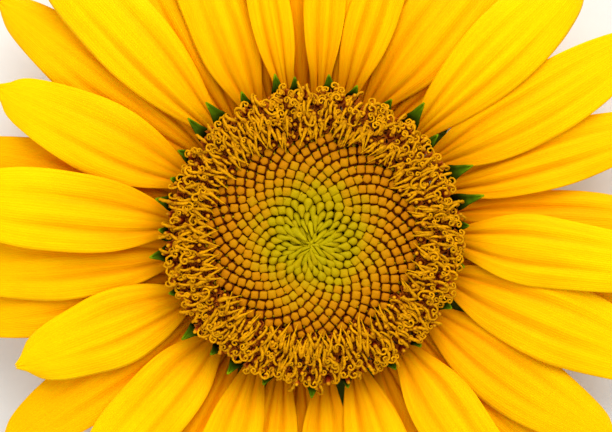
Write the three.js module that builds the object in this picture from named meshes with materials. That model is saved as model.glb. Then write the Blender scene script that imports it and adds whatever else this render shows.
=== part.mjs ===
// A sunflower head, picked with its stem cut short, lying on its back with its face up.
// Millimetres, +Z up. The origin is the middle of the cut end of the stem, which the head rests on.
import * as THREE from "three";

// ---- Driving dimensions ----

const stem = { radius: 8.5, height: 4.5 };
const rim = { radius: 27.3, z: 16.4 }; // where the back of the head turns over to its face
const bed = { rimZ: 17.6, middleZ: 18.6 }; // the face that the florets stand on
const gap = 0.35; // between neighbours that touch in the real flower

// The face is three zones of florets: unripe ones in the middle, buds, then open ones.
const zones = { unripe: 9.2, bud: 19.2, open: 30.6 }; // outer radii
const tops = { middle: 25.4, unripe: 27.2, bud: 28.4, open: 31.2 }; // heights above the cut end
const turnSteps = 48; // facets round the turned pieces

const ray = {
  thick: 0.55,
  inner: 27.95, // where its claw meets the rim
  baseZ: 16.9,
  claw: 3,
  tipWidth: 0.9,
  widest: 0.42, // share of its length
  typicalReach: 72,
  lengthSteps: 9,
  widthSteps: 4,
};
const tierGap = { inner: 1.15, outer: 2.6 }; // rise from one tier to the next, at the rim and at the tips

const bract = { thick: 0.9, widest: 0.3, lengthSteps: 7, widthSteps: 2 };
const outerBracts = {
  count: 8,
  turn: 10, // degrees, of the first one
  inner: 21.6,
  baseZ: 8.6,
  length: 25.5,
  wide: 12.5,
  rise: 2.6,
  droop: 6.4,
};
const innerBracts = {
  count: 9,
  turn: 8,
  inner: 26.7,
  baseZ: 12.4,
  length: 22.5,
  wide: 13.4,
  rise: 3.4,
  droop: 3.2,
};

const crown = { baseZ: 23.9, inner: 29.75, thick: 0.6, height: 1.3, rise: 3.4 };

// The ray florets, counter-clockwise. at and tip are the directions of base and tip in degrees, reach is
// the tip's distance from the middle, wide the greatest width, tier how high it lies in the overlap with 0
// lowest, bow how far its middle is pushed sideways, and widest where its greatest width is, if not as usual.
const rays = [
  { at: -0.5, tip: -5.5, reach: 77, wide: 14.5, tier: 3, bow: 0, widest: 0.38 },
  { at: 8.5, tip: 1, reach: 80, wide: 13.5, tier: 0, bow: 0 },
  { at: 20.7, tip: 17.8, reach: 80, wide: 13.2, tier: 1, bow: 0 },
  { at: 32, tip: 31, reach: 83, wide: 14.6, tier: 2, bow: -1 },
  { at: 45, tip: 44.6, reach: 78.5, wide: 15.4, tier: 3, bow: 0, widest: 0.6 },
  { at: 56.8, tip: 51, reach: 74, wide: 11.6, tier: 0, bow: 0 },
  { at: 66.5, tip: 56.5, reach: 82, wide: 16.5, tier: 1, bow: 0, widest: 0.5 },
  { at: 71.5, tip: 68, reach: 74, wide: 10, tier: 0, bow: 0 },
  { at: 77, tip: 73.5, reach: 80, wide: 10.5, tier: 2, bow: 0 },
  { at: 82, tip: 80.5, reach: 76, wide: 11, tier: 1, bow: 0 },
  { at: 87.3, tip: 87, reach: 79, wide: 8.5, tier: 2, bow: 0 },
  { at: 94, tip: 93.5, reach: 77, wide: 12, tier: 0, bow: 0 },
  { at: 100.8, tip: 100.8, reach: 76, wide: 8.5, tier: 3, bow: 0 },
  { at: 107.5, tip: 105, reach: 74, wide: 10, tier: 1, bow: 0 },
  { at: 115.4, tip: 112.5, reach: 80, wide: 13.5, tier: 2, bow: 0 },
  { at: 125.5, tip: 120.5, reach: 76, wide: 12.5, tier: 1, bow: 0 },
  { at: 132.5, tip: 132.6, reach: 84, wide: 16, tier: 3, bow: 0, widest: 0.6 },
  { at: 143.3, tip: 143, reach: 83, wide: 14.5, tier: 1, bow: 0 },
  { at: 155.5, tip: 154.8, reach: 73, wide: 15.5, tier: 2, bow: 0 },
  { at: 165, tip: 166.5, reach: 80, wide: 13, tier: 0, bow: 0 },
  { at: 174.5, tip: 174, reach: 80.2, wide: 16.8, tier: 3, bow: 0 },
  { at: 187.5, tip: 185.5, reach: 78, wide: 15, tier: 1, bow: 0 },
  { at: 197, tip: 193.5, reach: 77, wide: 14.5, tier: 0, bow: 0 },
  { at: 206, tip: 203.6, reach: 67, wide: 15.6, tier: 2, bow: 0.3 },
  { at: 213.5, tip: 214.3, reach: 80, wide: 15, tier: 0, bow: 0 },
  { at: 225.8, tip: 227.8, reach: 73.8, wide: 15.2, tier: 2, bow: 0 },
  { at: 234.6, tip: 239, reach: 76, wide: 12, tier: 0, bow: 0 },
  { at: 245.5, tip: 250, reach: 78, wide: 12.6, tier: 2, bow: 0 },
  { at: 256.6, tip: 260.5, reach: 76, wide: 11.2, tier: 1, bow: 0 },
  { at: 264.6, tip: 268, reach: 74, wide: 10.4, tier: 0, bow: 0 },
  { at: 275, tip: 272.6, reach: 79, wide: 11.2, tier: 1, bow: 0 },
  { at: 288, tip: 286.5, reach: 79, wide: 14, tier: 2, bow: 0 },
  { at: 298.8, tip: 297, reach: 75, wide: 11, tier: 0, bow: 0 },
  { at: 309.2, tip: 306, reach: 78, wide: 14.2, tier: 2, bow: 0 },
  { at: 319, tip: 317.5, reach: 74, wide: 12, tier: 0, bow: 0 },
  { at: 327, tip: 326, reach: 77, wide: 15, tier: 1, bow: -1.2 },
  { at: 343.5, tip: 339.7, reach: 81, wide: 17, tier: 2, bow: 0 },
  { at: 351, tip: 349.5, reach: 72, wide: 11.4, tier: 1, bow: 0 },
];

// The green scale tips that stand between the open florets and the rays: direction, and distance from
// the middle.
const scales = [
  [5.4, 32.4], [13, 36.8], [24, 37], [39, 33.7], [49.4, 35.9], [61.5, 32.8], [73.5, 32.7], [83, 33.7],
  [95.8, 33.6], [103.8, 34.7], [116, 33.9], [127.5, 36.2], [137.7, 36], [147, 33.4], [157, 31.8], [167, 33.6],
  [177.5, 31.8], [187.7, 34.6], [201.5, 32], [218, 34.5], [230.4, 32.3], [239.5, 33.9], [251.5, 32.2],
  [261, 31.6], [269, 33.6], [283, 32], [294, 31.6], [302, 32.3], [314.6, 31.8], [325, 31.6], [334, 32.4],
  [347.7, 32],
];

// ---- Helpers ----

const materials = {
  stem: new THREE.MeshStandardMaterial({ color: "#6f8a3c", roughness: 0.75 }),
  unripe: new THREE.MeshStandardMaterial({ color: "#b9a806", roughness: 0.6 }),
  bud: new THREE.MeshStandardMaterial({ color: "#dd8a05", roughness: 0.6 }),
  open: new THREE.MeshStandardMaterial({ color: "#d99405", roughness: 0.6 }),
  ray: new THREE.MeshStandardMaterial({ color: "#ffc400", roughness: 0.55 }),
  scale: new THREE.MeshStandardMaterial({ color: "#3f6a1c", roughness: 0.6 }),
  bract: new THREE.MeshStandardMaterial({ color: "#5c8a33", roughness: 0.7 }),
};

const flower = new THREE.Group();

function add(name, geometry, material) {
  const mesh = new THREE.Mesh(geometry, material);
  mesh.name = name;
  flower.add(mesh);
  return mesh;
}

const radians = THREE.MathUtils.degToRad;
const blend = (from, to, share) => from + (to - from) * share;
const inDirection = (angle, r) => new THREE.Vector2(r, 0).rotateAround(new THREE.Vector2(), radians(angle));

// A turned solid about +Z from [radius, height] points, going out along the bottom and back in over the top.
function turned(points, steps = turnSteps) {
  const profile = points.map(([r, z]) => new THREE.Vector2(r, z));
  return new THREE.LatheGeometry(profile, steps).rotateX(Math.PI / 2);
}

// A thin blade: a box of steps along and across, each of whose vertices goes where place(along, across,
// side) says. along runs from 0 at the base to 1 at the tip, across from -0.5 to 0.5, and side from -0.5
// underneath to 0.5 on top.
function blade(lengthSteps, widthSteps, place) {
  const geometry = new THREE.BoxGeometry(1, 1, 1, lengthSteps, widthSteps, 1);
  const at = geometry.getAttribute("position");
  for (let i = 0; i < at.count; i++) {
    const p = place(at.getX(i) + 0.5, at.getY(i), at.getZ(i));
    at.setXYZ(i, p.x, p.y, p.z);
  }
  return geometry;
}

// ---- Back of the head, with the stub of the stem ----

function receptacle() {
  const { radius, height } = stem;
  return turned([
    [0, 0],
    [radius, 0],
    [radius, height],
    [radius + 2.6, height + 1.6],
    [16, 7.6],
    [21.6, 10.1],
    [25.6, 13.2],
    [rim.radius, rim.z],
    [rim.radius - 0.7, bed.rimZ],
    [0, bed.middleZ],
  ]);
}

// ---- The face: three zones of florets, each one solid ----

// Height of the underside of the floret zones, just clear of the bed.
const underside = (r) => blend(bed.middleZ, bed.rimZ, r / rim.radius) + gap;

function unripeFlorets() {
  const r = zones.unripe;
  return turned([
    [0, underside(0)],
    [r, underside(r)],
    [r, tops.unripe],
    [r * 0.66, tops.unripe - 0.2],
    [r * 0.25, tops.middle + 0.4],
    [0, tops.middle],
  ]);
}

function budFlorets() {
  const inner = zones.unripe + gap;
  const outer = zones.bud;
  return turned([
    [inner, underside(inner)],
    [outer, underside(outer)],
    [outer, tops.bud - 0.2],
    [blend(inner, outer, 0.7), tops.bud],
    [blend(inner, outer, 0.3), tops.bud - 0.3],
    [inner, tops.unripe + 0.2],
    [inner, underside(inner)],
  ]);
}

function openFlorets() {
  const inner = zones.bud + gap;
  return turned([
    [inner, underside(inner)],
    [26.4, underside(26.4)],
    [27.5, 21.5],
    [29.2, 24.8],
    [zones.open, 27.8],
    [29.5, 30.2],
    [26, tops.open],
    [21.7, tops.open - 0.5],
    [inner, tops.open - 2.2],
    [inner, underside(inner)],
  ]);
}

// A ring whose upper edge runs out into one pointed scale for each entry of scales.
function scaleCrown() {
  const { baseZ, inner, thick, height, rise } = crown;
  const steps = 160;
  const geometry = turned(
    [
      [inner, baseZ],
      [inner + thick, baseZ],
      [inner + thick + 0.6, baseZ + height],
      [inner + 0.6, baseZ + height],
      [inner, baseZ],
    ],
    steps,
  );
  const at = geometry.getAttribute("position");
  for (let i = 0; i < at.count; i++) {
    if (at.getZ(i) < baseZ + height / 2) continue;
    const direction = THREE.MathUtils.radToDeg(Math.atan2(at.getY(i), at.getX(i)));
    let out = 0;
    for (const [middle, reach] of scales) {
      const off = Math.abs(THREE.MathUtils.euclideanModulo(direction - middle + 180, 360) - 180);
      const share = Math.max(0, 1 - off / 4.6);
      out = Math.max(out, (reach - inner - 1.4) * share);
    }
    const r = Math.hypot(at.getX(i), at.getY(i));
    const scale = (r + out) / r;
    at.setXYZ(i, at.getX(i) * scale, at.getY(i) * scale, at.getZ(i) + (rise * out) / 6);
  }
  return geometry;
}

// ---- Ray florets ----

// Share of the greatest width, along a ray from its claw to its tip.
function rayOutline(along, widest) {
  if (along < widest) return Math.sin((Math.PI / 2) * (along / widest) ** 0.72) ** 1.1;
  return (1 - ((along - widest) / (1 - widest)) ** 2.5) ** 0.72;
}

// Height of a ray's middle line over the cut end, at a distance from the flower's middle.
function rayHeight(r, tier) {
  const out = (r - ray.inner) / (ray.typicalReach - ray.inner);
  const arch = 4.6 * (1 - Math.exp(-out * 6)) - 2.9 * out * out;
  return ray.baseZ + arch + tier * blend(tierGap.inner, tierGap.outer, out);
}

// How much higher the middle of a ray is than its edges: channelled at the claw, arched further out.
const rayCrown = (along) => blend(-0.35, 0.75, Math.min(1, along / 0.45));

function rayFloret({ at, tip, reach, wide, tier, bow, widest = ray.widest }) {
  const base = inDirection(at, ray.inner);
  const end = inDirection(tip, reach);
  const heading = end.clone().sub(base).normalize();
  const sideways = new THREE.Vector2(-heading.y, heading.x);
  return blade(ray.lengthSteps, ray.widthSteps, (along, across, side) => {
    const width = Math.max(wide * rayOutline(along, widest), along < widest ? ray.claw : ray.tipWidth);
    const offset = across * width + bow * 4 * along * (1 - along);
    const spot = base.clone().lerp(end, along).addScaledVector(sideways, offset);
    const middle = base.clone().lerp(end, along).length();
    const arched = rayCrown(along) * (width / wide) * (1 - 4 * across * across);
    const z = rayHeight(middle, tier) + arched + side * ray.thick;
    return new THREE.Vector3(spot.x, spot.y, z);
  });
}

// ---- Green bracts behind the rays ----

function bractOutline(along) {
  if (along < bract.widest) return blend(0.62, 1, Math.sin((Math.PI / 2) * (along / bract.widest)));
  return Math.max(0.08, 1 - ((along - bract.widest) / (1 - bract.widest)) ** 1.15);
}

function greenBract({ inner, baseZ, length, wide, rise, droop }, direction) {
  const up = new THREE.Vector3(0, 0, 1);
  return blade(bract.lengthSteps, bract.widthSteps, (along, across, side) => {
    const width = wide * bractOutline(along);
    const arch = rise * (along + Math.sin(0.9 * Math.PI * along)) - droop * along * along;
    const cupped = (1.6 * across * across * width) / wide;
    const z = baseZ + arch + cupped + side * bract.thick;
    return new THREE.Vector3(inner + length * along, across * width, z).applyAxisAngle(up, direction);
  });
}

// ---- Assembly ----

const numbered = (index) => String(index + 1).padStart(2, "0");

function addBracts(name, ring) {
  for (let i = 0; i < ring.count; i++) {
    const direction = radians(ring.turn + (360 * i) / ring.count);
    add(`${name}_${numbered(i)}`, greenBract(ring, direction), materials.bract);
  }
}

add("receptacle", receptacle(), materials.stem);
add("unripe_florets", unripeFlorets(), materials.unripe);
add("bud_florets", budFlorets(), materials.bud);
add("open_florets", openFlorets(), materials.open);
add("green_scales", scaleCrown(), materials.scale);
rays.forEach((one, index) => add(`ray_floret_${numbered(index)}`, rayFloret(one), materials.ray));
addBracts("outer_bract", outerBracts);
addBracts("inner_bract", innerBracts);

export default flower;
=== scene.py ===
import math
import random

import bmesh
import bpy
from mathutils import Matrix, Quaternion, Vector


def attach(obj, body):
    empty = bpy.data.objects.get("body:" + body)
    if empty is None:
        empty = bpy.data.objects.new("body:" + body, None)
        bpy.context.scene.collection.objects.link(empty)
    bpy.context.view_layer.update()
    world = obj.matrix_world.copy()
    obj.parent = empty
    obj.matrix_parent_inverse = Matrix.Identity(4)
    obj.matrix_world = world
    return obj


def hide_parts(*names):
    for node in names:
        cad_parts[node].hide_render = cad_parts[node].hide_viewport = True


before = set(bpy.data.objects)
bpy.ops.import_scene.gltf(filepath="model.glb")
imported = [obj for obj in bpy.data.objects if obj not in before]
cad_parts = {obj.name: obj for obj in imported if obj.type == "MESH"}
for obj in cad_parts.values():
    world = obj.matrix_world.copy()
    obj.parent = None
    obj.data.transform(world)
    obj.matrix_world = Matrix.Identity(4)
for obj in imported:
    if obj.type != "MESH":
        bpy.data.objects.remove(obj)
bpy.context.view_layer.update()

# A sunflower head lying on its back: rays, three zones of disc florets, green scales, bracts and
# the fleshy body behind. Sizes are in millimetres in the dictionaries and metres in the meshes.
mm = 0.001
dice = random.Random(11)



def blend(a, b, share):
    return a + (b - a) * share


def ease(share):
    share = max(0.0, min(1.0, share))
    return share * share * (3 - 2 * share)


def between(knots, x):  # straight lines through (x, value) knots
    for (x0, v0), (x1, v1) in zip(knots, knots[1:]):
        if x <= x1:
            return blend(v0, v1, max(0.0, (x - x0) / (x1 - x0)))
    return knots[-1][1]


def smoothAlong(values, share):  # a smooth curve through evenly spaced values
    x = max(0.0, min(1.0, share)) * (len(values) - 1)
    i = min(int(x), len(values) - 2)
    f = x - i
    p0, p1, p2 = values[max(i - 1, 0)], values[i], values[i + 1]
    p3 = values[min(i + 2, len(values) - 1)]
    return (p1 * 2 + (p2 - p0) * f + (p0 * 2 - p1 * 5 + p2 * 4 - p3) * f ** 2
            + (p1 * 3 - p0 - p2 * 3 + p3) * f ** 3) * 0.5


def clearSelection():
    bpy.ops.object.select_all(action="DESELECT")


def selectOnly(objs):
    clearSelection()
    for obj in objs:
        obj.select_set(True)
    bpy.context.view_layer.objects.active = objs[0]


def pickFaces(obj, test):  # in edit mode
    bpy.ops.mesh.select_mode(type="FACE")
    cage = bmesh.from_edit_mesh(obj.data)
    for face in cage.faces:
        face.select_set(test(face))
    bmesh.update_edit_mesh(obj.data)


def pickEdges(obj, test):  # in edit mode
    bpy.ops.mesh.select_mode(type="EDGE")
    cage = bmesh.from_edit_mesh(obj.data)
    for edge in cage.edges:
        edge.select_set(test(edge))
    bmesh.update_edit_mesh(obj.data)


def turnProfile(name, profile, steps, axis):
    # profile points are (distance from the axis, place along it)
    aside = Vector((0, 1, 0)) if axis[0] else Vector((1, 0, 0))
    mesh = bpy.data.meshes.new(name)
    points = [aside * out + Vector(axis) * along for out, along in profile]
    mesh.from_pydata(points, [(i, i + 1) for i in range(len(points) - 1)], [])
    obj = bpy.data.objects.new(name, mesh)
    bpy.context.collection.objects.link(obj)
    selectOnly([obj])
    bpy.ops.object.mode_set(mode="EDIT")
    bpy.ops.mesh.select_all(action="SELECT")
    bpy.ops.mesh.spin(steps=steps, angle=2 * math.pi, center=(0, 0, 0), axis=axis)
    bpy.ops.mesh.select_all(action="SELECT")
    bpy.ops.mesh.remove_doubles(threshold=1e-5)
    bpy.ops.mesh.normals_make_consistent(inside=False)
    bpy.ops.object.mode_set(mode="OBJECT")
    return obj


def markVertices(obj, name, value):  # one number on each vertex, for the materials
    mark = obj.data.attributes.get(name) or obj.data.attributes.new(name, "FLOAT", "POINT")
    mark.data.foreach_set("value", [value(v.co) for v in obj.data.vertices])


def finishPiece(obj, name, skin, nodes):
    obj.name = name
    obj.data.materials.clear()
    obj.data.materials.append(skin)
    selectOnly([obj])
    bpy.ops.object.transform_apply(location=True, rotation=True, scale=True)
    bpy.ops.object.shade_smooth()
    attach(obj, "root")
    if nodes:
        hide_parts(*nodes)
    return obj



def toLinear(code):
    parts = [int(code[i:i + 2], 16) / 255 for i in (1, 3, 5)]
    return tuple(p / 12.92 if p <= 0.04045 else ((p + 0.055) / 1.055) ** 2.4 for p in parts) + (1.0,)


def addNode(tree, kind, inputs=None, stops=None, **settings):
    made = tree.nodes.new(kind)
    for key, value in settings.items():
        setattr(made, key, value)
    for socket, value in (inputs or {}).items():
        if isinstance(value, bpy.types.NodeSocket):
            tree.links.new(value, made.inputs[socket])
        else:
            made.inputs[socket].default_value = value
    if stops:
        ramp = made.color_ramp
        while len(ramp.elements) < len(stops):
            ramp.elements.new(1.0)
        for element, (place, colour) in zip(ramp.elements, stops):
            element.position = place
            element.color = toLinear(colour) if isinstance(colour, str) else (colour,) * 3 + (1.0,)
    return made


def newSkin(name):
    skin = bpy.data.materials.new(name)
    skin.use_nodes = True
    tree = skin.node_tree
    return skin, tree, tree.nodes["Principled BSDF"]


def distanceFromAxis(tree):  # in millimetres
    place = addNode(tree, "ShaderNodeTexCoord").outputs["Object"]
    flat = addNode(tree, "ShaderNodeMapping", {"Vector": place, "Scale": (1, 1, 0)}).outputs["Vector"]
    far = addNode(tree, "ShaderNodeVectorMath", {0: flat}, operation="LENGTH").outputs["Value"]
    return addNode(tree, "ShaderNodeMath", {0: far, 1: 1000.0}, operation="MULTIPLY").outputs[0]


# Ray floret: living petal skin, thin and satin, with fine parallel veins and a deeper orange claw.
# The dark brown at the very base is painted shade where the petal goes in under the disc.
petalLook = {
    # the along tone: the claw's deeper orange, with painted shade darkening the very base
    "alongToneAndBaseShade": [(0.0, "#8E5000"), (0.06, "#D08400"), (0.11, "#E89C00"), (0.16, "#F4AC00"), (0.23, "#FCB600"),
                   (0.38, "#FFBE00"), (0.55, "#FFC400"), (1.0, "#FFC800")],
    "streak": "#EE9000",
    # painted shade in the petal grooves: darker orange-brown, darkest near the base
    "grooveShadeStops": [(0.0, "#6E3400"), (0.1, "#B46400"), (0.25, "#DA8400"), (0.45, "#F09800"), (1.0, "#F8A400")],
    # painted shade: petals lying lower, under their neighbours, are darker
    "underShadeStops": [(0.0, "#FAEAE0"), (0.5, "#FCF6F2"), (1.0, "#FFFFFF")],
    "veinPitch": 0.45, "veinDepth": 0.05, "width": 14.0, "length": 45.0,
}


def petalSkin():
    look = petalLook
    skin, tree, body = newSkin("ray_petal_skin")
    uv = addNode(tree, "ShaderNodeUVMap", uv_map="UVMap").outputs["UV"]
    parts = addNode(tree, "ShaderNodeSeparateXYZ", {"Vector": uv})
    tone = addNode(tree, "ShaderNodeValToRGB", {"Fac": parts.outputs["X"]}, stops=look["alongToneAndBaseShade"])
    place = addNode(tree, "ShaderNodeTexCoord").outputs["Object"]
    lines = addNode(tree, "ShaderNodeCombineXYZ", {
        "X": addNode(tree, "ShaderNodeMath", {0: parts.outputs["X"], 1: 1.6}, operation="MULTIPLY").outputs[0],
        "Y": addNode(tree, "ShaderNodeMath", {0: parts.outputs["Y"], 1: 9.0}, operation="MULTIPLY").outputs[0],
        "Z": addNode(tree, "ShaderNodeAttribute", attribute_name="tint").outputs["Fac"]}).outputs["Vector"]
    streaks = addNode(tree, "ShaderNodeTexNoise", {"Vector": lines, "Scale": 1.0, "Detail": 4.0,
                                                   "Roughness": 0.6}).outputs["Fac"]
    streakShare = addNode(tree, "ShaderNodeValToRGB", {"Fac": streaks},
                          stops=[(0.4, 0.0), (0.68, 0.75)]).outputs["Color"]
    toward = addNode(tree, "ShaderNodeMapRange", {"Value": parts.outputs["X"], "From Min": 0.75, "From Max": 0.1,
                                                  "To Min": 0.15, "To Max": 1.0}).outputs["Result"]
    amount = addNode(tree, "ShaderNodeMath", {0: streakShare, 1: toward}, operation="MULTIPLY").outputs[0]
    colour = addNode(tree, "ShaderNodeMixRGB", {"Fac": amount, "Color1": tone.outputs["Color"],
                                                "Color2": toLinear(look["streak"])}, blend_type="MIX")
    # the groove mark mixes the painted groove shade into the colour
    grooveShadeTone = addNode(tree, "ShaderNodeValToRGB", {"Fac": parts.outputs["X"]}, stops=look["grooveShadeStops"])
    grooveAndShade = addNode(tree, "ShaderNodeAttribute", attribute_name="grooveAndShade").outputs["Fac"]
    grooveShaded = addNode(tree, "ShaderNodeMixRGB", {"Fac": grooveAndShade, "Color1": colour.outputs["Color"],
                                                "Color2": grooveShadeTone.outputs["Color"]})
    # painted shade on the lower petals, which lie in the shade of the ones above
    layer = addNode(tree, "ShaderNodeAttribute", attribute_name="layer").outputs["Fac"]
    depth = addNode(tree, "ShaderNodeValToRGB", {"Fac": layer}, stops=look["underShadeStops"])
    underShaded = addNode(tree, "ShaderNodeMixRGB", {"Fac": 1.0, "Color1": grooveShaded.outputs["Color"],
                                                 "Color2": depth.outputs["Color"]}, blend_type="MULTIPLY")
    cloud = addNode(tree, "ShaderNodeTexNoise", {"Vector": place, "Scale": 260.0, "Detail": 3.0}).outputs["Fac"]
    shade = addNode(tree, "ShaderNodeMapRange", {"Value": cloud, "To Min": 0.92, "To Max": 1.06}).outputs["Result"]
    final = addNode(tree, "ShaderNodeMixRGB", {"Fac": 1.0, "Color1": underShaded.outputs["Color"], "Color2": shade},
                    blend_type="MULTIPLY")
    tree.links.new(final.outputs["Color"], body.inputs["Base Color"])
    veins = addNode(tree, "ShaderNodeMath", {
        0: parts.outputs["Y"], 1: 2 * math.pi * look["width"] / look["veinPitch"]}, operation="MULTIPLY").outputs[0]
    wavy = addNode(tree, "ShaderNodeMath", {0: streaks, 1: 14.0, 2: veins}, operation="MULTIPLY_ADD").outputs[0]
    ridges = addNode(tree, "ShaderNodeMath", {0: wavy}, operation="SINE").outputs[0]
    relief = addNode(tree, "ShaderNodeBump", {"Height": ridges, "Strength": 0.35,
                                              "Distance": look["veinDepth"] * mm}).outputs["Normal"]
    tree.links.new(relief, body.inputs["Normal"])
    rough = addNode(tree, "ShaderNodeMapRange", {"Value": cloud, "To Min": 0.46, "To Max": 0.66}).outputs["Result"]
    tree.links.new(rough, body.inputs["Roughness"])
    body.inputs["Specular IOR Level"].default_value = 0.12
    body.inputs["Specular Tint"].default_value = (1.0, 0.7, 0.1, 1.0)
    body.inputs["Subsurface Weight"].default_value = 0.2  # light passes through a petal
    body.inputs["Subsurface Radius"].default_value = (1.0, 0.45, 0.02)
    body.inputs["Subsurface Scale"].default_value = 0.8 * mm
    return skin


# Disc florets: waxy young plant tissue. Green-yellow in the middle, orange outwards, and dark where
# a floret goes down between its neighbours: partly the florets' own darker lower tissue, maroon
# outwards, and partly painted shade in the gaps between them.
faceLook = {
    "top": [(0.0, "#B29C00"), (0.10, "#A49000"), (0.29, "#AE9000"), (0.38, "#B48400"), (0.47, "#BA7A00"),
            (0.62, "#B66E00")],
    # deep: the florets' own darker lower tissue, deepened with painted shade down in the gaps
    "deep": [(0.0, "#9A8C00"), (0.24, "#8C7000"), (0.38, "#743406"), (1.0, "#4E1606")],
    "reach": 31.0, "grain": 1400.0,
}


def floretSkin(name, deepUpTo, topFrom):
    look = faceLook
    skin, tree, body = newSkin(name)
    far = distanceFromAxis(tree)
    share = addNode(tree, "ShaderNodeMath", {0: far, 1: look["reach"]}, operation="DIVIDE").outputs[0]
    tint = addNode(tree, "ShaderNodeAttribute", attribute_name="tint").outputs["Fac"]
    moved = addNode(tree, "ShaderNodeMath", {0: tint, 1: 0.07, 2: share}, operation="MULTIPLY_ADD").outputs[0]
    top = addNode(tree, "ShaderNodeValToRGB", {"Fac": moved}, stops=look["top"]).outputs["Color"]
    deep = addNode(tree, "ShaderNodeValToRGB", {"Fac": share}, stops=look["deep"]).outputs["Color"]
    # low on a floret the colour turns to the deep tone: painted shade between neighbours
    rise = addNode(tree, "ShaderNodeAttribute", attribute_name="rise").outputs["Fac"]
    lit = addNode(tree, "ShaderNodeMapRange", {"Value": rise, "From Min": deepUpTo, "From Max": topFrom},
                  interpolation_type="SMOOTHSTEP").outputs["Result"]
    colour = addNode(tree, "ShaderNodeMixRGB", {"Fac": lit, "Color1": deep, "Color2": top}).outputs["Color"]
    place = addNode(tree, "ShaderNodeTexCoord").outputs["Object"]
    grain = addNode(tree, "ShaderNodeTexNoise", {"Vector": place, "Scale": look["grain"], "Detail": 3.0}).outputs["Fac"]
    shade = addNode(tree, "ShaderNodeMapRange", {"Value": grain, "To Min": 0.8, "To Max": 1.16}).outputs["Result"]
    final = addNode(tree, "ShaderNodeMixRGB", {"Fac": 1.0, "Color1": colour, "Color2": shade}, blend_type="MULTIPLY")
    tree.links.new(final.outputs["Color"], body.inputs["Base Color"])
    relief = addNode(tree, "ShaderNodeBump", {"Height": grain, "Strength": 0.4, "Distance": 0.12 * mm})
    tree.links.new(relief.outputs["Normal"], body.inputs["Normal"])
    rough = addNode(tree, "ShaderNodeMapRange", {"Value": grain, "To Min": 0.38, "To Max": 0.62}).outputs["Result"]
    tree.links.new(rough, body.inputs["Roughness"])
    body.inputs["Specular IOR Level"].default_value = 0.15
    body.inputs["Specular Tint"].default_value = (1.0, 0.75, 0.2, 1.0)
    body.inputs["Subsurface Weight"].default_value = 0.1
    body.inputs["Subsurface Radius"].default_value = (1.0, 0.5, 0.1)
    body.inputs["Subsurface Scale"].default_value = 0.3 * mm
    return skin


# A skin whose colour follows one mark on the vertices, with pollen grains or fine hairs as its grain.
def markedSkin(name, stops, grain, roughness, relief, shine=(1.0, 0.75, 0.2, 1.0), tintShare=0.12):
    skin, tree, body = newSkin(name)
    rise = addNode(tree, "ShaderNodeAttribute", attribute_name="rise").outputs["Fac"]
    tint = addNode(tree, "ShaderNodeAttribute", attribute_name="tint").outputs["Fac"]
    place = addNode(tree, "ShaderNodeTexCoord").outputs["Object"]
    specks = addNode(tree, "ShaderNodeTexNoise", {"Vector": place, "Scale": grain, "Detail": 4.0}).outputs["Fac"]
    mixed = addNode(tree, "ShaderNodeMath", {0: specks, 1: 0.3, 2: rise}, operation="MULTIPLY_ADD").outputs[0]
    centred = addNode(tree, "ShaderNodeMath", {0: mixed, 1: 0.15}, operation="SUBTRACT").outputs[0]
    tone = addNode(tree, "ShaderNodeValToRGB", {"Fac": centred}, stops=stops).outputs["Color"]
    spot = addNode(tree, "ShaderNodeMapRange", {"Value": specks, "From Min": 0.3, "From Max": 0.7,
                                                "To Min": 0.74, "To Max": 1.16}).outputs["Result"]
    shade = addNode(tree, "ShaderNodeMath", {0: tint, 1: tintShare, 2: spot}, operation="MULTIPLY_ADD").outputs[0]
    final = addNode(tree, "ShaderNodeMixRGB", {"Fac": 1.0, "Color1": tone, "Color2": shade}, blend_type="MULTIPLY")
    tree.links.new(final.outputs["Color"], body.inputs["Base Color"])
    bump = addNode(tree, "ShaderNodeBump", {"Height": specks, "Strength": 0.5, "Distance": relief * mm})
    tree.links.new(bump.outputs["Normal"], body.inputs["Normal"])
    rough = addNode(tree, "ShaderNodeMapRange", {"Value": specks, "To Min": roughness - 0.1,
                                                 "To Max": roughness + 0.12}).outputs["Result"]
    tree.links.new(rough, body.inputs["Roughness"])
    body.inputs["Specular IOR Level"].default_value = 0.15
    body.inputs["Specular Tint"].default_value = shine
    return skin



def readBlade(node, perStep):
    # middle line, edge height and width of a CAD blade at each of its steps, from base to tip
    spots = sorted({tuple(round(c / mm, 3) for c in v.co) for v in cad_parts[node].data.vertices},
                   key=lambda s: math.hypot(s[0], s[1]))
    spots = [Vector(s) for s in spots]
    base = sum(spots[:perStep], Vector()) / perStep
    tip = sum(spots[-perStep:], Vector()) / perStep
    heading = Vector((tip.x - base.x, tip.y - base.y, 0)).normalized()
    side = Vector((-heading.y, heading.x, 0))
    spots.sort(key=heading.dot)
    line, edges, widths = [], [], []
    for i in range(0, len(spots), perStep):
        step = sorted(spots[i:i + perStep], key=side.dot)
        across = [side.dot(s) for s in step]
        middle = step[perStep // 2 - 1:perStep // 2 + 1]
        ends = step[:2] + step[-2:]
        line.append(Vector((0, 0, 0)) + heading * heading.dot(step[0]) + side * (across[0] + across[-1]) / 2
                    + Vector((0, 0, sum(s.z for s in middle) / 2)))
        edges.append(sum(s.z for s in ends) / 4)
        widths.append(across[-1] - across[0])
    return {"line": line, "edges": edges, "widths": widths, "side": side, "wide": max(widths)}


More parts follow.
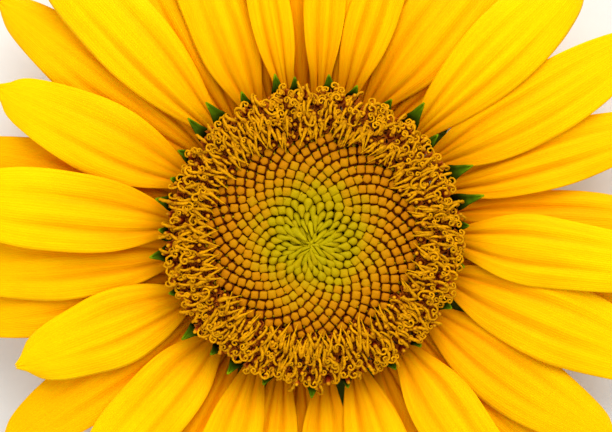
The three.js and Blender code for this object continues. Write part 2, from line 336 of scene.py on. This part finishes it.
def growBlade(name, steps, place, thick, marks=()):
    # a grid laid out by place(along, across) and marked by each of marks, then thickened
    clearSelection()
    bpy.ops.mesh.primitive_grid_add(x_subdivisions=steps[0], y_subdivisions=steps[1], size=1)
    leaf = bpy.context.object
    leaf.name = name
    for mark, value in marks:
        markVertices(leaf, mark, lambda co: value(co.x + 0.5, co.y))
    for v in leaf.data.vertices:
        v.co = place(v.co.x + 0.5, v.co.y) * mm
    leaf.data.update()
    shell = leaf.modifiers.new("thickness", "SOLIDIFY")
    shell.thickness = thick * mm
    shell.offset = 0
    bpy.ops.object.modifier_apply(modifier=shell.name)
    return leaf


rayShape = {
    "steps": (64, 30), "thick": 0.34, "tip": 0.5, "lowest": 16.9, "highest": 20.3,
    "grooves": ((-0.19, 0.062), (0.18, 0.058), (0.01, 0.035)), "grooveDepth": 0.72,
    "ripple": 0.4, "roll": 3.0, "rib": 0.05, "dip": (1.0, 34.0, 7.0),  # depth, where, and how far it spreads
}


def growRay(node, skin):
    shape = rayShape
    blade = readBlade(node, 10)
    grooves = [(at + dice.uniform(-0.04, 0.04), broad, dice.uniform(0.7, 1.2)) for at, broad in shape["grooves"]]
    grooves[2] = (grooves[2][0], grooves[2][1], dice.uniform(0, 0.4))
    roll = math.tan(math.radians(dice.uniform(-1, 1) * shape["roll"]))
    waves, phase, cup = dice.uniform(5, 9), dice.uniform(0, 6.3), dice.uniform(-0.6, 0.3)
    notch = dice.uniform(0.6, 1.5)
    bend = dice.uniform(-0.012, 0.012)

    # groove depth across the petal: it shapes the grooves and marks where painted shade goes
    def grooveAndShade(along, across):
        dips = sum(deep * math.exp(-((across - at - bend * math.sin(9 * along)) / broad) ** 2)
                   for at, broad, deep in grooves)
        return min(1.0, dips) * ease(along / 0.08) * (1 - ease((along - 0.35) / 0.5))

    def place(along, across):
        width = max(smoothAlong(blade["widths"], along), shape["tip"])
        width *= 1 + 0.025 * math.sin(waves * 1.7 * along + phase * 2)
        spot = smoothAlong(blade["line"], along)
        edge = smoothAlong(blade["edges"], along)
        z = edge + (spot.z - edge) * (1 - 4 * across * across)
        full = ease(along / 0.16) * ease((1 - along) / 0.12)
        z -= shape["grooveDepth"] * grooveAndShade(along, across)
        dip, where, spread = shape["dip"]
        z -= dip * math.exp(-((spot.xy.length - where) / spread) ** 2)
        z += shape["rib"] * full * math.sin(across * 2 * math.pi * 11 + phase)
        z += across * width * roll
        z += full * cup * (2 * across) ** 4
        z += full * shape["ripple"] * abs(2 * across) ** 3 * math.sin(waves * along * 2 + phase)
        out = spot + blade["side"] * across * width
        if along > 0.9:  # small teeth at the tip
            heading = Vector((blade["side"].y, -blade["side"].x, 0))
            out -= heading * notch * (along - 0.9) * 10 * abs(math.sin(3 * math.pi * across)) ** 2
        return Vector((out.x, out.y, z))

    ray = growBlade(node + "_petal", shape["steps"], place, shape["thick"],
                    [("grooveAndShade", lambda along, across: 0.6 * grooveAndShade(along, across))])
    tint = dice.random() * 20
    # how low the petal lies, which sets its painted shade
    layer = (blade["edges"][0] - shape["lowest"]) / (shape["highest"] - shape["lowest"])
    markVertices(ray, "tint", lambda co: tint)
    markVertices(ray, "layer", lambda co: layer)
    return finishPiece(ray, node + "_petal", skin, [node])


bractShape = {"steps": (30, 12), "thick": 0.55, "widest": 0.3, "midrib": 0.45, "hairs": 46, "hair": (0.035, 0.9)}


def bractOutline(along):
    widest = bractShape["widest"]
    if along < widest:
        return blend(0.62, 1, math.sin(math.pi / 2 * along / widest))
    return max(0.02, 1 - ((along - widest) / (1 - widest)) ** 1.15)


def growBract(node, skin):
    shape = bractShape
    blade = readBlade(node, 6)
    phase, waves, roll = dice.uniform(0, 6.3), dice.uniform(3, 6), math.tan(math.radians(dice.uniform(-6, 6)))
    tipLift = dice.uniform(-0.8, 1.4)

    def place(along, across):
        width = blade["wide"] * bractOutline(along)
        spot = smoothAlong(blade["line"], along)
        edge = smoothAlong(blade["edges"], along)
        z = edge + (spot.z - edge) * (1 - 4 * across * across)
        z -= shape["midrib"] * math.exp(-(across / 0.06) ** 2) * (1 - along)
        z += across * width * roll * along
        z += 0.45 * abs(2 * across) ** 2 * math.sin(waves * along * 2 + phase) * ease(along * 3)
        z += tipLift * ease((along - 0.6) / 0.4)
        out = spot + blade["side"] * across * width
        return Vector((out.x, out.y, z))

    leaf = growBlade(node + "_leaf", shape["steps"], place, shape["thick"])
    hairs = []
    for i in range(shape["hairs"]):  # a fringe of stiff hairs along both edges
        along = 0.06 + 0.9 * (i // 2 + 0.5) / (shape["hairs"] / 2)
        edge = 0.5 if i % 2 else -0.5
        root = place(along, edge)
        aim = (blade["side"] * edge * 2 + (place(min(1, along + 0.05), edge) - root).normalized() * 0.9
               + Vector((0, 0, dice.uniform(-0.4, 0.4)))).normalized()
        clearSelection()
        length = shape["hair"][1] * dice.uniform(0.7, 1.2)
        bpy.ops.mesh.primitive_cone_add(vertices=4, radius1=shape["hair"][0] * mm, radius2=0.006 * mm,
                                        depth=length * mm, location=(root + aim * length / 2) * mm,
                                        rotation=aim.to_track_quat("Z", "Y").to_euler())
        hairs.append(bpy.context.object)
    selectOnly([leaf] + hairs)
    bpy.ops.object.join()
    middle = blade["line"][0]
    reach = (blade["line"][-1] - middle).length
    markVertices(leaf, "rise", lambda co: (Vector(co) / mm - middle).length / reach)
    tint = dice.uniform(-1, 1)
    markVertices(leaf, "tint", lambda co: tint)
    return finishPiece(leaf, node + "_leaf", skin, [node])



face = {
    "turn": math.radians(137.508),  # from one floret to the next
    "area": ((0, 2.15), (6, 2.55), (10, 3.05), (13.5, 3.4), (17, 3.7), (30, 4.0)),  # square mm for each floret
    "unripeTo": 9.0, "budTo": 20.6, "openTo": 30.1,
    "middle": (-0.6, -1.75), "middleTo": 17.0,  # the spirals' own middle lies a little off the head's
    "knotTo": (7.0, 16.0),  # florets nearer than this point at it
    "height": ((0, 25.5), (4, 26.3), (9, 27.1), (14, 28.1), (19.5, 28.3), (25, 28.3), (31, 27.2)),
}


def seatFlorets():
    seats, area, index = [], 0.5, 0
    while math.sqrt(area / math.pi) < face["openTo"]:
        r = math.sqrt(area / math.pi)
        angle = index * face["turn"]
        middle = Vector(face["middle"])
        spot = Vector((r * math.cos(angle), r * math.sin(angle))) + middle * max(0, 1 - r / face["middleTo"]) ** 1.5
        nearest, furthest = face["knotTo"]
        away = spot - middle * ease((furthest - r) / (furthest - nearest))
        seats.append({"r": r, "angle": math.atan2(away.y, away.x), "x": spot.x, "y": spot.y,
                      "z": between(face["height"], r), "size": math.sqrt(between(face["area"], r)),
                      "ragged": r - 0.5 * math.cos(2 * angle) + dice.uniform(-0.7, 0.7)})
        area += between(face["area"], r)
        index += 1
    return seats


def lookRound(seats):
    # the way a square floret turns to face its four nearest neighbours, and how far off they are
    for seat in seats:
        near = sorted((math.hypot(o["x"] - seat["x"], o["y"] - seat["y"]),
                       math.atan2(o["y"] - seat["y"], o["x"] - seat["x"])) for o in seats if o is not seat)[:4]
        seat["facing"] = math.atan2(sum(math.sin(4 * a) for _, a in near), sum(math.cos(4 * a) for _, a in near)) / 4
        seat["room"] = sum(far for far, _ in near) / 4


def standing(seat, up=0.0, lean=0.0, spin=0.0, size=1.0, out=0.0):
    # local +X points away from the middle, lean tips a floret that way
    x = seat["x"] + out * math.cos(seat["angle"])
    y = seat["y"] + out * math.sin(seat["angle"])
    return (Matrix.Translation(Vector((x, y, seat["z"] + up)) * mm)
            @ Matrix.Rotation(seat["angle"], 4, "Z") @ Matrix.Rotation(lean, 4, "Y")
            @ Matrix.Rotation(spin, 4, "Z") @ Matrix.Scale(size * mm, 4))


def sow(name, plan):
    # plan is a list of (model, matrix): one copy for each, then all are joined
    copies = []
    for model, matrix in plan:
        copy = bpy.data.objects.new(name, model.data.copy())
        bpy.context.collection.objects.link(copy)
        copy.matrix_world = matrix
        tint = dice.uniform(-1, 1)
        markVertices(copy, "tint", lambda co: tint)
        copies.append(copy)
    bpy.context.view_layer.update()
    selectOnly(copies)
    bpy.ops.object.join()
    return copies[0]


def addBed(floret, radius, top, depth, rise):
    # the lower part of a floret, wide enough to close the gaps between neighbours
    clearSelection()
    bpy.ops.mesh.primitive_cylinder_add(vertices=6, radius=radius, depth=depth, location=(0.1, 0, top - depth / 2))
    bed = bpy.context.object
    # the bed is marked low, so it takes the deep tone and its painted shade
    markVertices(bed, "rise", lambda co: rise)
    selectOnly([floret, bed])
    bpy.ops.object.join()
    return floret


def discard(models):
    for model in models:
        bpy.data.objects.remove(model)



dropShape = {
    "head": ((0.0, 0.88), (0.42, 0.72), (0.72, 0.36), (0.84, -0.08), (0.7, -0.55)),
    "tails": (2.9, 2.2, 1.3, 0.7), "sides": 9, "flat": 0.74, "bed": (1.05, -0.7, 6.6, 0.2), "large": (-3.3, 1.9),
}


def modelDrop(tail):
    shape = dropShape
    profile = list(shape["head"]) + [(0.44, -0.55 - tail * 0.33), (0.24, -0.55 - tail * 0.68), (0, -0.55 - tail)]
    drop = turnProfile("drop", profile, shape["sides"], (1, 0, 0))
    for v in drop.data.vertices:
        back = max(0.0, -v.co.x - 0.4)
        v.co.z = v.co.z * shape["flat"] + 0.2 * back - 0.1 * back ** 2  # the tail arches over
        v.co.y *= 1 + 0.1 * math.sin(2 * v.co.x)
    # rise falls down the drop's sides, where the skin takes the painted shade of the deep tone
    markVertices(drop, "rise", lambda co: 0.5 + co.z * 0.6 - 0.1 * max(0, co.x))
    return addBed(drop, *shape["bed"])


def sowUnripe(seats, skin):
    models = [modelDrop(tail) for tail in dropShape["tails"]]
    plan = []
    for seat in seats:
        order = between(((0, 0), (5.0, 0.5), (7.0, 2), (8.6, 3)), seat["r"])
        model = models[min(3, int(order + dice.uniform(0, 0.8)))]
        lean = math.radians(between(((0, 26), (3, 15), (9, 4)), seat["r"]) + dice.uniform(-5, 5))
        size = seat["size"] / 1.6 * dice.uniform(0.88, 1.12)
        size *= between(((0, 0.5), (1.5, 0.8), (3.5, 1), (9, 1)), seat["r"])
        up = dice.uniform(-0.35, 0.35)
        if math.hypot(seat["x"] - dropShape["large"][0], seat["y"] - dropShape["large"][1]) < 0.9:
            size, up = size * 1.35, 0.45
        plan.append((model, standing(seat, up=up, lean=lean, spin=dice.uniform(-0.22, 0.22), size=size,
                                     out=dice.uniform(-0.15, 0.15))))
    piece = sow("unripe_florets_heads", plan)
    discard(models)
    return finishPiece(piece, "unripe_florets_heads", skin, ["unripe_florets"])


budShape = {
    "sides": {4: 1.2, 5: 1.04}, "depth": 9.2, "corner": 0.3,
    "crown": ((0.86, 0.14), (0.78, 0.12), (0.5, 0.07)),  # share of the width, and rise, of each step of the top
    "room": ((9, 0.575), (13, 0.545), (16, 0.5), (20, 0.475)), "bed": (1.3, -1.1, 8.0, 0.1),
}


def modelBud(sides):
    shape = budShape
    clearSelection()
    bpy.ops.mesh.primitive_cylinder_add(vertices=sides, radius=shape["sides"][sides], depth=shape["depth"],
                                        location=(0, 0, -shape["depth"] / 2 - 0.3))
    bud = bpy.context.object
    bpy.ops.object.transform_apply(location=True)
    bpy.ops.object.mode_set(mode="EDIT")
    pickEdges(bud, lambda e: abs(e.verts[0].co.z - e.verts[1].co.z) > 1)
    bpy.ops.mesh.bevel(offset=shape["corner"], segments=2, affect="EDGES")
    pickFaces(bud, lambda f: f.normal.z > 0.9)
    for share, rise in shape["crown"]:
        bpy.ops.mesh.extrude_region_move(TRANSFORM_OT_translate={"value": (0, 0, rise)})
        bpy.ops.transform.resize(value=(share, share, 1))
    bpy.ops.mesh.poke(offset=0.01)
    pickFaces(bud, lambda f: f.normal.z < -0.9)
    bpy.ops.transform.resize(value=(0.55, 0.55, 1))
    bpy.ops.object.mode_set(mode="OBJECT")
    # rise falls down the bud's sides, where the skin takes the painted shade of the deep tone
    markVertices(bud, "rise", lambda co: max(0, 1 + (co.z - 0.1) / 1.5))
    return addBed(bud, *shape["bed"])


def modelScaleTip():
    # the pointed tip of the chaffy scale that leans over a bud's outer side
    clearSelection()
    bpy.ops.mesh.primitive_cone_add(vertices=6, radius1=0.72, radius2=0.06, depth=2.0, location=(1.06, 0, -0.72),
                                    rotation=(0, math.radians(-14), 0))
    tip = bpy.context.object
    bpy.ops.object.transform_apply(location=True, rotation=True, scale=True)
    markVertices(tip, "rise", lambda co: 0.4 + (co.z + 0.7) * 0.5)
    return tip


def sowBuds(seats, skin, tipSkin):
    models = [modelBud(4), modelBud(5)]
    plan = []
    for seat in seats:
        lean = math.radians(between(((8, -10), (14, -2), (20, 6)), seat["r"]) + dice.uniform(-4, 4))
        model = models[0] if dice.random() < 0.75 else models[1]
        spin = seat["facing"] - seat["angle"] - math.pi / 4 + dice.uniform(-0.24, 0.24)
        plan.append((model, standing(seat, up=dice.uniform(-0.22, 0.22), lean=lean, spin=spin,
                                     size=seat["room"] * between(budShape["room"], seat["r"])
                                     * dice.uniform(0.91, 1.06))))
    piece = sow("bud_florets_heads", plan)
    tipModel = modelScaleTip()
    tips = sow("bud_florets_scales", [(tipModel, standing(
        s, up=between(((9, 0.0), (12, -0.3), (15, -0.7)), s["r"]) + dice.uniform(-0.2, 0.1), size=s["room"] / 1.95,
        spin=dice.uniform(-0.4, 0.4))) for s in seats])
    discard(models + [tipModel])
    finishPiece(tips, "bud_florets_scales", tipSkin, [])
    return finishPiece(piece, "bud_florets_heads", skin, ["bud_florets"])



openShape = {
    "tube": ((0.0, -8.6), (0.66, -8.5), (0.44, -5.6), (0.82, -1.6), (1.26, -0.2), (0.72, -0.6), (0.0, -1.8)),
    "lobe": 0.4, "sides": 10,
    "anther": ((0.0, -1.4), (0.44, -1.3), (0.52, 0.2), (0.5, 1.6), (0.34, 2.15), (0.0, 2.35)),
    "armSteps": 11, "limit": 31.3, "missing": 0.12, "third": 0.6, "lump": 0.06,
    "out": ((19, 2.4), (22, 1.6), (24, 0.6), (30, -0.6)),
}
# stigma arms in mm and degrees: tilt 0 curls flat and 90 curls upright, a late curl leaves a straight root
armKinds = {
    "spear": {"length": (4.0, 5.4), "turn": (15, 60), "tilt": (70, 110), "late": 0.4, "thick": (0.84, 0.14)},
    "strap": {"length": (3.6, 5.0), "turn": (90, 190), "tilt": (50, 88), "late": 1.6, "thick": (0.66, 0.46)},
    "horn": {"length": (4.4, 5.6), "turn": (310, 400), "tilt": (5, 40), "late": 1.15, "thick": (0.5, 0.4)},
    "hook": {"length": (3.8, 5.0), "turn": (180, 290), "tilt": (20, 65), "late": 1.5, "thick": (0.58, 0.4)},
    "curl": {"length": (2.8, 3.8), "turn": (300, 400), "tilt": (0, 50), "late": 0.8, "thick": (0.42, 0.38)},
}


def modelCorolla():
    # up the outside, over the rim and down into the mouth
    shape = openShape
    tube = turnProfile("corolla", shape["tube"], shape["sides"], (0, 0, 1))
    for v in tube.data.vertices:  # five pointed lobes, bent outwards
        if v.co.z > -0.3:
            point = 0.5 + 0.5 * math.cos(5 * math.atan2(v.co.y, v.co.x))
            v.co.x *= blend(0.72, 1.12, point)
            v.co.y *= blend(0.72, 1.12, point)
            v.co.z += shape["lobe"] * (point - 0.5)
    markVertices(tube, "rise", lambda co: 1 + co.z / 8.6)
    return tube


def modelAnther():
    tube = turnProfile("anther", openShape["anther"], 7, (0, 0, 1))
    markVertices(tube, "rise", lambda co: (co.z + 1.4) / 3.75)
    return tube


def modelArm(kind, side):
    # side 1 curls left and -1 curls right, seen from above
    shape = armKinds[kind]
    steps = openShape["armSteps"]
    length = dice.uniform(*shape["length"])
    turn = math.radians(dice.uniform(*shape["turn"]))
    tilt = math.radians(dice.uniform(*shape["tilt"]))
    axis = Vector((0, math.sin(tilt), side * math.cos(tilt)))
    heading = Quaternion((0, 0, 1), -side * 0.25) @ Vector((1, 0, 0.25)).normalized()
    shares = [((i + 1) / steps) ** shape["late"] for i in range(steps)]
    path = [Vector((0, 0, 0))]
    for share in shares:
        heading = Quaternion(axis, turn * share / sum(shares)) @ heading
        path.append(path[-1] + heading * length / steps)
    clearSelection()
    bpy.ops.curve.primitive_bezier_curve_add()
    curve = bpy.context.object.data
    curve.splines.clear()
    spline = curve.splines.new("POLY")
    spline.points.add(steps)
    for i, (point, spot) in enumerate(zip(spline.points, path)):
        point.co = (*spot, 1)
        thick = blend(*shape["thick"], ease(i / steps)) / 2 * (1 + 0.16 * math.sin(i * 2.4 + length * 9))
        point.radius = thick * (0.45 if i in (0, steps) else 1)
    curve.bevel_depth = 1.0
    curve.bevel_resolution = 1
    curve.use_fill_caps = True
    bpy.ops.object.convert(target="MESH")
    arm = bpy.context.object
    markVertices(arm, "rise", lambda co: min(range(steps + 1), key=lambda i: (path[i] - co).length) / steps)
    for v in arm.data.vertices:  # grains of pollen make it lumpy
        v.co += Vector((dice.uniform(-1, 1), dice.uniform(-1, 1), dice.uniform(-1, 1))) * openShape["lump"]
    return arm


def pickArms(r):
    # which arms a floret carries, and which way they point: 0 is away from the middle
    chance = dice.random()
    if chance < between(((19, 0.95), (21.5, 0.75), (24, 0.35), (27, 0.08), (30, 0.0)), r):
        kinds = ("spear", dice.choice(("spear", "strap", "strap")))
        aims = (math.pi + dice.uniform(-0.25, 0.25), math.pi + dice.uniform(-0.45, 0.45))
    elif chance > between(((19, 1.0), (22, 0.9), (25, 0.75), (28.5, 0.5)), r):
        kinds = ("horn", "horn")
        aim = dice.uniform(-0.6, 0.6)
        aims = (aim, aim + dice.uniform(-0.3, 0.3))
    else:
        kinds = (dice.choice(("strap", "hook")), dice.choice(("strap", "hook")))
        aims = (math.pi + dice.uniform(-0.5, 0.5), dice.uniform(-0.6, 0.6))
    if r > 21.5 and dice.random() < openShape["third"]:
        kinds, aims = kinds + ("curl",), aims + (dice.uniform(-1.6, 1.6),)
    return kinds, aims


def sowOpen(seats, tubeSkin, antherSkin, armSkin):
    corolla, anther = modelCorolla(), modelAnther()
    arms = {(kind, side): [modelArm(kind, side) for _ in range(6)] for kind in armKinds for side in (1, -1)}
    tubes, anthers, inner, outer = [], [], [], []
    for seat in seats:
        r = seat["r"]
        lean = math.radians(between(((19, -14), (23, -4), (27, 8), (30, 24)), r) + dice.uniform(-7, 7))
        size = dice.uniform(0.92, 1.06)
        tubes.append((corolla, standing(seat, up=-1.0, lean=lean * 0.5, size=size, spin=dice.uniform(0, 6))))
        anthers.append((anther, standing(seat, up=-1.0 + dice.uniform(-0.5, 0.4), lean=lean, size=size,
                                         spin=dice.uniform(0, 6))))
        if r > 28 and dice.random() < openShape["missing"]:
            continue
        top = 1.0 + dice.uniform(-0.5, 0.5)
        kinds, aims = pickArms(r)
        for kind, aim, side in zip(kinds, aims, (1, -1, 1)):
            matrix = standing(seat, up=top, lean=lean * 0.6, spin=aim, size=dice.uniform(0.88, 1.08),
                              out=between(openShape["out"], r))
            (inner if r < 25.5 else outer).append((dice.choice(arms[kind, side]), matrix))
    pieces = [
        finishPiece(sow("open_florets_tubes", tubes), "open_florets_tubes", tubeSkin, ["open_florets"]),
        finishPiece(sow("open_florets_anthers", anthers), "open_florets_anthers", antherSkin, []),
        finishPiece(sow("open_florets_stigmas_inner", inner), "open_florets_stigmas_inner", armSkin, []),
        finishPiece(sow("open_florets_stigmas_outer", outer), "open_florets_stigmas_outer", armSkin, []),
    ]
    discard([corolla, anther] + [arm for group in arms.values() for arm in group])
    for piece in pieces[2:]:
        for v in piece.data.vertices:  # nothing stands much higher than the rest
            over = v.co.z / mm - openShape["limit"]
            if over > 0:
                v.co.z = (openShape["limit"] + 0.5 * (1 - math.exp(-over / 0.5))) * mm
    return pieces


scaleShape = {"steps": (5, 12), "base": 28.9, "baseZ": 21.6, "kneeZ": 25.8, "tipZ": 26.9, "wide": 3.7, "thick": 0.28}


def findScaleTips():
    # the CAD ring runs out furthest at each scale's tip
    spots = {}
    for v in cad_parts["green_scales"].data.vertices:
        degrees = round(math.degrees(math.atan2(v.co.y, v.co.x)) * 2) / 2
        spots[degrees] = max(spots.get(degrees, 0), math.hypot(v.co.x, v.co.y) / mm)
    ring = sorted(spots.items())
    tips = []
    for i, (degrees, r) in enumerate(ring):
        near = [ring[(i + k) % len(ring)][1] for k in (-2, -1, 1, 2)]
        if r > 31.5 and r >= max(near) and (not tips or degrees - tips[-1][0] > 3):
            tips.append((degrees, r))
    return tips


def growScales(skin):
    shape = scaleShape
    leaves = []
    for degrees, reach in findScaleTips():
        aim = Matrix.Rotation(math.radians(degrees), 3, "Z")
        wide = shape["wide"] * dice.uniform(0.85, 1.1) * blend(0.8, 1.15, (reach - 31) / 6)
        bend = dice.uniform(-0.6, 0.6)
        tipZ = shape["tipZ"] + dice.uniform(-0.5, 0.7)

        def place(along, across):
            r = blend(shape["base"], reach, along ** 1.25)
            width = wide * (0.75 + 0.25 * math.sin(math.pi * min(1, along * 1.6))) * (1 - along ** 2.2) + 0.05
            z = between(((0, shape["baseZ"]), (0.45, shape["kneeZ"]), (1, tipZ)), along)
            z += 2.2 * abs(across) * (1 - 0.6 * along)
            return aim @ Vector((r, across * width + bend * along ** 2, z))

        leaves.append(growBlade("scale", (shape["steps"][1], shape["steps"][0]), place, shape["thick"]))
        # rise runs from base to tip; the low end takes the painted shade at the base
        markVertices(leaves[-1], "rise", lambda co: (math.hypot(co.x, co.y) / mm - 30) / max(1.0, reach - 30))
        tint = dice.uniform(-1, 1)
        markVertices(leaves[-1], "tint", lambda co: tint)
    selectOnly(leaves)
    bpy.ops.object.join()
    return finishPiece(leaves[0], "green_scales_leaves", skin, ["green_scales"])



bodyShape = {
    "profile": ((0.0, 0.25), (3.0, 0.25), (6.4, 0.2), (7.3, 0.0), (8.3, 0.0), (8.6, 0.4), (8.55, 2.6), (8.7, 4.2),
                (9.6, 5.4), (11.6, 6.3), (14.5, 7.2), (17.6, 8.4), (20.6, 9.9), (23.2, 11.7), (25.4, 13.7),
                (26.8, 15.6), (27.3, 16.8), (26.7, 17.6), (20.0, 18.0), (10.0, 18.5), (0.0, 18.6)),
    "steps": 120, "ribs": 21, "ribDepth": 0.22, "lump": 0.18,
}


def growBody(skin):
    shape = bodyShape
    body = turnProfile("receptacle_body", shape["profile"], shape["steps"], (0, 0, 1))
    for v in body.data.vertices:
        r = math.hypot(v.co.x, v.co.y)
        turn = math.atan2(v.co.y, v.co.x)
        if r > 7.5 and 0.2 < v.co.z < 17:
            swell = shape["ribDepth"] * math.cos(shape["ribs"] * turn) * ease((v.co.z - 0.2) / 4)
            swell += shape["lump"] * math.sin(5 * turn + v.co.z * 0.5) * math.sin(3 * turn - v.co.z * 0.7)
            v.co.x *= 1 + swell / r
            v.co.y *= 1 + swell / r
        v.co *= mm
    markVertices(body, "rise", lambda co: math.hypot(co.x, co.y) / mm / 30)
    markVertices(body, "tint", lambda co: 0.0)
    return finishPiece(body, "receptacle_body", skin, ["receptacle"])


# Stem and body: green skin with stiff white hairs, and a white pith inside the cut.
def stemSkin():
    skin, tree, body = newSkin("stem_skin_and_pith")
    place = addNode(tree, "ShaderNodeTexCoord").outputs["Object"]
    far = distanceFromAxis(tree)
    height = addNode(tree, "ShaderNodeSeparateXYZ", {"Vector": place}).outputs["Z"]
    hairs = addNode(tree, "ShaderNodeTexNoise", {"Vector": place, "Scale": 900.0, "Detail": 5.0}).outputs["Fac"]
    blotch = addNode(tree, "ShaderNodeTexNoise", {"Vector": place, "Scale": 160.0, "Detail": 3.0}).outputs["Fac"]
    green = addNode(tree, "ShaderNodeValToRGB", {"Fac": blotch},
                    stops=[(0.3, "#5C7A2A"), (0.52, "#76923C"), (0.72, "#8FA851")]).outputs["Color"]
    hairy = addNode(tree, "ShaderNodeValToRGB", {"Fac": hairs}, stops=[(0.55, 0.0), (0.75, 0.6)]).outputs["Color"]
    outside = addNode(tree, "ShaderNodeMixRGB", {"Fac": hairy, "Color1": green, "Color2": toLinear("#C3CE9C")})
    cut = addNode(tree, "ShaderNodeMapRange", {"Value": far, "From Max": 9.0}).outputs["Result"]
    rings = addNode(tree, "ShaderNodeValToRGB", {"Fac": cut},
                    stops=[(0.0, "#EDEBD2"), (0.66, "#E4E4C0"), (0.76, "#B9C287"), (0.84, "#DDE2B4"),
                           (0.93, "#7E9A45")]).outputs["Color"]
    under = addNode(tree, "ShaderNodeMapRange", {"Value": height, "From Min": 0.3 * mm, "From Max": 0.5 * mm,
                                                 "To Min": 1.0, "To Max": 0.0}).outputs["Result"]
    bed = addNode(tree, "ShaderNodeMapRange", {"Value": height, "From Min": 16.8 * mm, "From Max": 17.4 * mm})
    planted = addNode(tree, "ShaderNodeMixRGB", {"Fac": bed.outputs["Result"], "Color1": outside.outputs["Color"],
                                                 "Color2": toLinear("#4A1C08")})
    final = addNode(tree, "ShaderNodeMixRGB", {"Fac": under, "Color1": planted.outputs["Color"], "Color2": rings})
    tree.links.new(final.outputs["Color"], body.inputs["Base Color"])
    bump = addNode(tree, "ShaderNodeBump", {"Height": hairs, "Strength": 0.6, "Distance": 0.15 * mm})
    tree.links.new(bump.outputs["Normal"], body.inputs["Normal"])
    rough = addNode(tree, "ShaderNodeMapRange", {"Value": hairs, "To Min": 0.6, "To Max": 0.85}).outputs["Result"]
    tree.links.new(rough, body.inputs["Roughness"])
    return skin



studio = {
    "floor": 3.0, "floorColour": "#E4E2DC",
    "world": 0.56, "key": {"place": (0.14, 0.48, 0.56), "size": 0.8, "power": 6.9},
    "fill": {"place": (-0.5, -0.35, 0.6), "size": 0.7, "power": 2.2},
    "view": (-1.43, 4.28), "faceZ": 28.0, "away": 350.0, "seen": 124.85, "sensor": 36.0,
}


def buildStudio():
    clearSelection()
    bpy.ops.mesh.primitive_plane_add(size=studio["floor"], location=(0, 0, 0))
    floor = bpy.context.object
    floor.name = "floor"
    skin, tree, body = newSkin("floor_paper")
    place = addNode(tree, "ShaderNodeTexCoord").outputs["Object"]
    fibres = addNode(tree, "ShaderNodeTexNoise", {"Vector": place, "Scale": 400.0, "Detail": 3.0}).outputs["Fac"]
    tone = addNode(tree, "ShaderNodeMapRange", {"Value": fibres, "To Min": 0.97, "To Max": 1.02}).outputs["Result"]
    mixed = addNode(tree, "ShaderNodeMixRGB", {"Fac": 1.0, "Color1": toLinear(studio["floorColour"]),
                                               "Color2": tone}, blend_type="MULTIPLY")
    tree.links.new(mixed.outputs["Color"], body.inputs["Base Color"])
    body.inputs["Roughness"].default_value = 0.9
    floor.data.materials.append(skin)
    for name in ("key", "fill"):
        light = studio[name]
        bpy.ops.object.light_add(type="AREA", location=light["place"])
        lamp = bpy.context.object
        lamp.data.shape = "DISK"
        lamp.data.size = light["size"]
        lamp.data.energy = light["power"]
        lamp.rotation_euler = (Vector((0, 0, 0)) - Vector(light["place"])).to_track_quat("-Z", "Y").to_euler()
    scene = bpy.context.scene
    scene.world = bpy.data.worlds.new("studio")
    scene.world.use_nodes = True
    scene.world.node_tree.nodes["Background"].inputs["Color"].default_value = (1, 1, 1, 1)
    scene.world.node_tree.nodes["Background"].inputs["Strength"].default_value = studio["world"]
    scene.view_settings.view_transform = "Standard"
    x, y = studio["view"]
    bpy.ops.object.camera_add(location=(x * mm, y * mm, (studio["faceZ"] + studio["away"]) * mm), rotation=(0, 0, 0))
    camera = bpy.context.object
    camera.data.sensor_width = studio["sensor"]
    camera.data.lens = studio["sensor"] * studio["away"] / studio["seen"]
    camera.data.clip_start = 0.01
    scene.camera = camera



buildStudio()
print("studio done")
petal = petalSkin()
for node in sorted(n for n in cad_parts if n.startswith("ray_floret")):
    growRay(node, petal)
print("rays done")
greenShine = (0.8, 1.0, 0.6, 1.0)
leafSkin = markedSkin("green_bract_skin", [(0.0, "#7C9A48"), (0.3, "#5C8230"), (0.8, "#48701F"), (1.0, "#3C5A1A")],
                      420.0, 0.62, 0.2, greenShine)
for node in sorted(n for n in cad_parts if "_bract_" in n):
    growBract(node, leafSkin)
print("bracts done")
growBody(stemSkin())
# green at the tip to near black at the base: the near black is painted shade under the florets
scaleSkin = markedSkin("green_scale_skin", [(0.0, "#141800"), (0.35, "#2C3C00"), (0.75, "#4C6800"), (1.0, "#809400")],
                       700.0, 0.6, 0.12, (0.5, 0.6, 0.15, 1.0))
growScales(scaleSkin)
print("body and scales done")
seats = seatFlorets()
lookRound(seats)
unripe = [s for s in seats if s["ragged"] < face["unripeTo"]]
buds = [s for s in seats if face["unripeTo"] <= s["ragged"] < face["budTo"]]
opened = [s for s in seats if s["ragged"] >= face["budTo"]]
print("florets", len(unripe), len(buds), len(opened))
sowUnripe(unripe, floretSkin("unripe_floret_skin", 0.1, 0.55))
tipSkin = markedSkin("scale_tip_skin", [(0.0, "#6A3208"), (0.3, "#8A7004"), (0.75, "#B89C08")], 1200.0, 0.5, 0.1)
sowBuds(buds, floretSkin("bud_skin", 0.3, 0.8), tipSkin)
print("buds done")
tubeSkin = markedSkin("corolla_skin", [(0.0, "#D8CC8C"), (0.5, "#A84A1C"), (0.86, "#A43818"), (1.0, "#C0640E")],
                      900.0, 0.5, 0.1)
antherSkin = markedSkin("anther_skin", [(0.0, "#6A1806"), (0.5, "#982A10"), (0.8, "#9A3A0E"), (1.0, "#D09004")],
                        1500.0, 0.6, 0.15)
armSkin = markedSkin("stigma_skin", [(0.0, "#A86400"), (0.25, "#CC8A00"), (1.0, "#D89600")], 1900.0, 0.5, 0.5)
sowOpen(opened, tubeSkin, antherSkin, armSkin)
print("open florets done")
